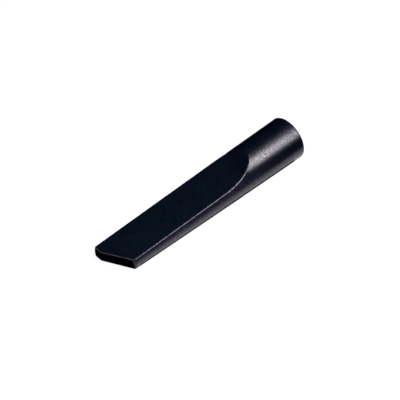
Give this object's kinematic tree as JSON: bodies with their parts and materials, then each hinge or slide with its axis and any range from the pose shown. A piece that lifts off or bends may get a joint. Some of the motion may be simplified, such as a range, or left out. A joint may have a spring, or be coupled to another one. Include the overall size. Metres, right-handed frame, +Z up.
{
  "type": "vacuum crevice tool",
  "caption": "Long black plastic vacuum nozzle with a round push-on socket that narrows through scooped flats to a thin slanting slot, for cleaning in gaps.",
  "frame": {"origin": "centre of the overall box, on the table that the tool lies on", "axes": "+Y from the slot towards the socket, along the table; +Z up. The tool's own axis lies in the YZ plane and rises 5.1 degrees towards the socket, as the tool rests on the belly of the socket and the lower edge of the tip. The longer side of the slanting mouth is on -X."},
  "size_m": [0.037, 0.1902, 0.0405],
  "materials": {
    "black_plastic": "satin"
  },
  "bodies": {
    "root": {"crevice_tool": "black_plastic"}
  },
  "joints": []
}
